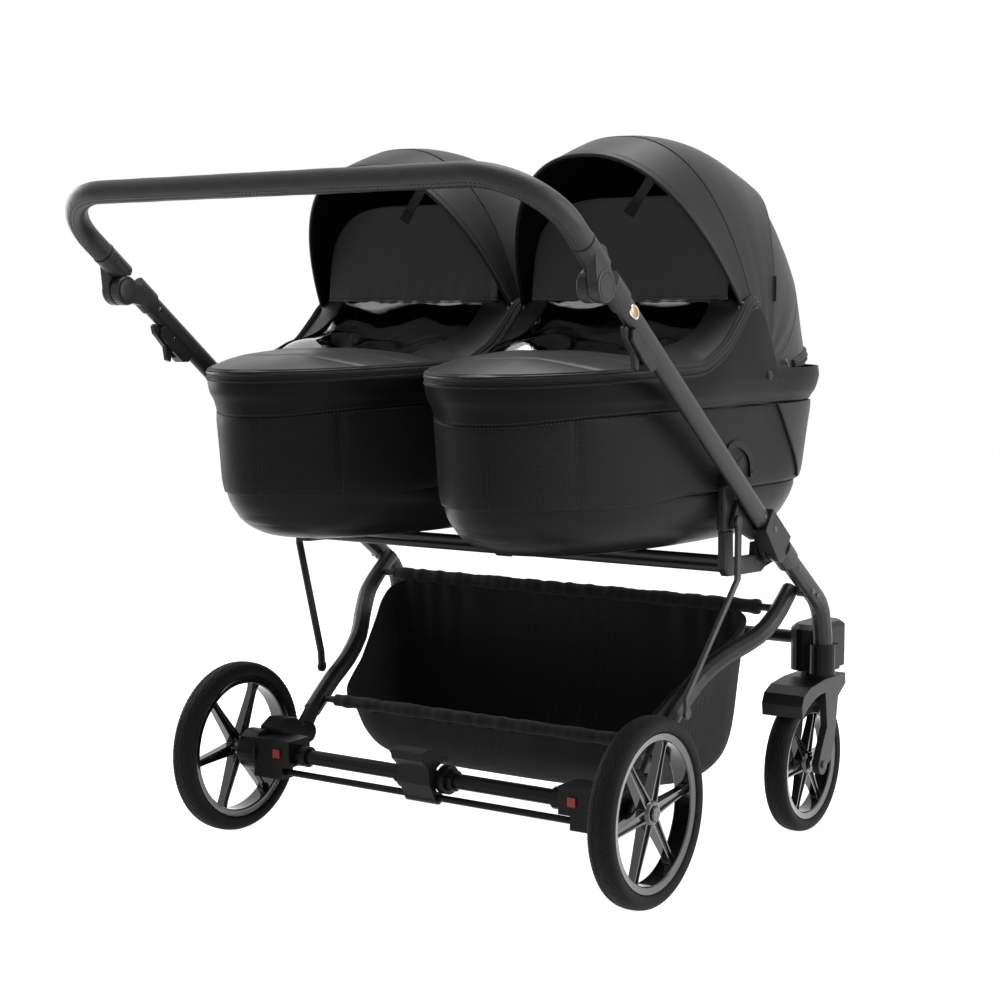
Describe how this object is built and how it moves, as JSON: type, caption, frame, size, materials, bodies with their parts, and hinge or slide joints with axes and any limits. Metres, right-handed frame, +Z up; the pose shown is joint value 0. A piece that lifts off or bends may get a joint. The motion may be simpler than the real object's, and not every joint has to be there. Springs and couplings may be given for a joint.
{
  "type": "twin pram",
  "caption": "Side-by-side twin pram: hooded carrycots on a folding chassis with caster front wheels, sprung rear axle, brake pedal, tilting handle and cloth basket.",
  "frame": {"origin": "on the floor, under the middle of the whole pram's outer box", "axes": "+Z up, +Y the way the pram travels (handle at -Y, casters at +Y), +X to the right of the person pushing"},
  "size_m": [0.905, 1.0073, 1.1288],
  "materials": {
    "frame_coat": "matte black powder coat",
    "black_plastic": "fine-textured satin black",
    "gloss_rim": "gloss black",
    "tyre_rubber": "matte black, fine tread",
    "leatherette": "smooth matte black leatherette",
    "grip_leatherette": "grained black leatherette",
    "cot_side": "perforated black leatherette over a moulded base",
    "basket_cloth": "woven black polyester",
    "clear_film": "clear soft film",
    "red_plastic": "satin red",
    "badge_metal": "plain polished oval"
  },
  "bodies": {
    "chassis": {"front_leg_right": "frame_coat", "front_leg_left": "frame_coat", "front_cross_tube": "frame_coat", "swivel_housing_right": "black_plastic", "swivel_housing_left": "black_plastic", "seat_bracket_right": "frame_coat", "seat_bracket_left": "frame_coat", "cot_adaptor_right": "black_plastic", "cot_adaptor_left": "black_plastic", "seat_cross_tubes": "frame_coat"},
    "upper_frame": {"handle_tube_right": "frame_coat", "handle_tube_left": "frame_coat", "hinge_upper_right": "black_plastic", "hinge_upper_left": "black_plastic", "release_housing_right": "black_plastic", "release_housing_left": "black_plastic", "handle_knuckle_right": "black_plastic", "handle_knuckle_left": "black_plastic", "badge_right": "badge_metal"},
    "handle": {"handlebar": "frame_coat", "grip": "grip_leatherette"},
    "tilt_button_right": {"tilt_button_right": "black_plastic"},
    "tilt_button_left": {"tilt_button_left": "black_plastic"},
    "release_lever_right": {"release_lever_right": "black_plastic"},
    "release_lever_left": {"release_lever_left": "black_plastic"},
    "links": {"link_right": "frame_coat", "link_left": "frame_coat"},
    "rear_legs": {"rear_leg_right": "frame_coat", "rear_leg_left": "frame_coat", "basket": "basket_cloth", "basket_rod_front": "frame_coat", "basket_rod_rear": "frame_coat"},
    "axle_unit": {"rear_axle": "frame_coat", "hub_housing_right": "black_plastic", "hub_housing_left": "black_plastic"},
    "brake": {"brake_pedal": "black_plastic", "brake_rod": "frame_coat"},
    "wheel_release_right": {"wheel_release_right": "red_plastic"},
    "wheel_release_left": {"wheel_release_left": "red_plastic"},
    "rear_wheel_right": {"rear_tyre_right": "tyre_rubber", "rear_rim_right": "gloss_rim"},
    "rear_wheel_left": {"rear_tyre_left": "tyre_rubber", "rear_rim_left": "gloss_rim"},
    "caster_right": {"fork_right": "black_plastic"},
    "caster_left": {"fork_left": "black_plastic"},
    "front_wheel_right": {"front_tyre_right": "tyre_rubber", "front_rim_right": "gloss_rim"},
    "front_wheel_left": {"front_tyre_left": "tyre_rubber", "front_rim_left": "gloss_rim"},
    "cot_right": {"cot_tub_right": "cot_side", "apron_right": "leatherette", "window_flap_right": "clear_film", "hood_rear_right": "leatherette"},
    "cot_left": {"cot_tub_left": "cot_side", "apron_left": "leatherette", "window_flap_left": "clear_film", "hood_rear_left": "leatherette"},
    "hood_right": {"hood_front_right": "leatherette"},
    "hood_left": {"hood_front_left": "leatherette"}
  },
  "joints": [
    {"name": "frame_fold", "type": "hinge", "parent": "chassis", "child": "upper_frame", "pos_m": [0, 0.18391, 0.48996], "axis": [1, 0, 0], "range_deg": [0, 90]},
    {"name": "rear_leg_fold", "type": "hinge", "parent": "chassis", "child": "rear_legs", "pos_m": [0, 0.3056, 0.415], "axis": [1, 0, 0], "range_deg": [-1, 50]},
    {"name": "link_fold", "type": "hinge", "parent": "upper_frame", "child": "links", "pos_m": [0, 0.07556, 0.54498], "axis": [1, 0, 0], "range_deg": [-62, 1]},
    {"name": "handle_tilt", "type": "hinge", "parent": "upper_frame", "child": "handle", "pos_m": [0, -0.3439, 0.891], "axis": [1, 0, 0], "range_deg": [-30, 60]},
    {"name": "tilt_push_right", "type": "slide", "parent": "upper_frame", "child": "tilt_button_right", "axis": [1, 0, 0], "range_m": [0, 0.0025], "stiffness_N_per_m": 800, "springref_m": -0.002},
    {"name": "tilt_push_left", "type": "slide", "parent": "upper_frame", "child": "tilt_button_left", "axis": [-1, 0, 0], "range_m": [0, 0.0025], "stiffness_N_per_m": 800, "springref_m": -0.002},
    {"name": "release_pull_right", "type": "hinge", "parent": "upper_frame", "child": "release_lever_right", "pos_m": [0.432, -0.23839, 0.8072], "axis": [1, 0, 0], "range_deg": [0, 15], "stiffness_Nm_per_rad": 0.2, "springref_deg": -8.59},
    {"name": "release_pull_left", "type": "hinge", "parent": "upper_frame", "child": "release_lever_left", "pos_m": [-0.432, -0.23839, 0.8072], "axis": [1, 0, 0], "range_deg": [0, 15], "stiffness_Nm_per_rad": 0.2, "springref_deg": -8.59},
    {"name": "suspension", "type": "hinge", "parent": "rear_legs", "child": "axle_unit", "pos_m": [0, -0.0394, 0.155], "axis": [-1, 0, 0], "range_deg": [0, 6], "stiffness_Nm_per_rad": 100, "springref_deg": -14.32},
    {"name": "brake_press", "type": "hinge", "parent": "axle_unit", "child": "brake", "pos_m": [0, -0.1414, 0.112], "axis": [1, 0, 0], "range_deg": [0, 18]},
    {"name": "wheel_push_right", "type": "slide", "parent": "axle_unit", "child": "wheel_release_right", "axis": [0, 1, 0], "range_m": [0, 0.003], "stiffness_N_per_m": 600, "springref_m": -0.002},
    {"name": "wheel_push_left", "type": "slide", "parent": "axle_unit", "child": "wheel_release_left", "axis": [0, 1, 0], "range_m": [0, 0.003], "stiffness_N_per_m": 600, "springref_m": -0.002},
    {"name": "rear_roll_right", "type": "hinge", "parent": "axle_unit", "child": "rear_wheel_right", "pos_m": [0.3927, -0.1314, 0.14], "axis": [1, 0, 0], "continuous": true},
    {"name": "rear_roll_left", "type": "hinge", "parent": "axle_unit", "child": "rear_wheel_left", "pos_m": [-0.3927, -0.1314, 0.14], "axis": [1, 0, 0], "continuous": true},
    {"name": "caster_swivel_right", "type": "hinge", "parent": "chassis", "child": "caster_right", "pos_m": [0.391, 0.4406, 0.2624], "axis": [0, 0, 1], "continuous": true},
    {"name": "caster_swivel_left", "type": "hinge", "parent": "chassis", "child": "caster_left", "pos_m": [-0.391, 0.4406, 0.2624], "axis": [0, 0, 1], "continuous": true},
    {"name": "front_roll_right", "type": "hinge", "parent": "caster_right", "child": "front_wheel_right", "pos_m": [0.391, 0.3896, 0.1144], "axis": [1, 0, 0], "continuous": true},
    {"name": "front_roll_left", "type": "hinge", "parent": "caster_left", "child": "front_wheel_left", "pos_m": [-0.391, 0.3896, 0.1144], "axis": [1, 0, 0], "continuous": true},
    {"name": "cot_lift_right", "type": "slide", "parent": "chassis", "child": "cot_right", "axis": [0, 0, 1], "range_m": [0, 0.2]},
    {"name": "cot_lift_left", "type": "slide", "parent": "chassis", "child": "cot_left", "axis": [0, 0, 1], "range_m": [0, 0.2]},
    {"name": "hood_fold_right", "type": "hinge", "parent": "cot_right", "child": "hood_right", "pos_m": [0.21, 0.1836, 0.761], "axis": [-1, 0, 0], "range_deg": [0, 55]},
    {"name": "hood_fold_left", "type": "hinge", "parent": "cot_left", "child": "hood_left", "pos_m": [-0.21, 0.1836, 0.761], "axis": [-1, 0, 0], "range_deg": [0, 55]}
  ],
  "couplings": [
    {"joint": "rear_leg_fold", "follows": "frame_fold", "ratio": 0.531},
    {"joint": "link_fold", "follows": "frame_fold", "ratio": -0.662}
  ]
}
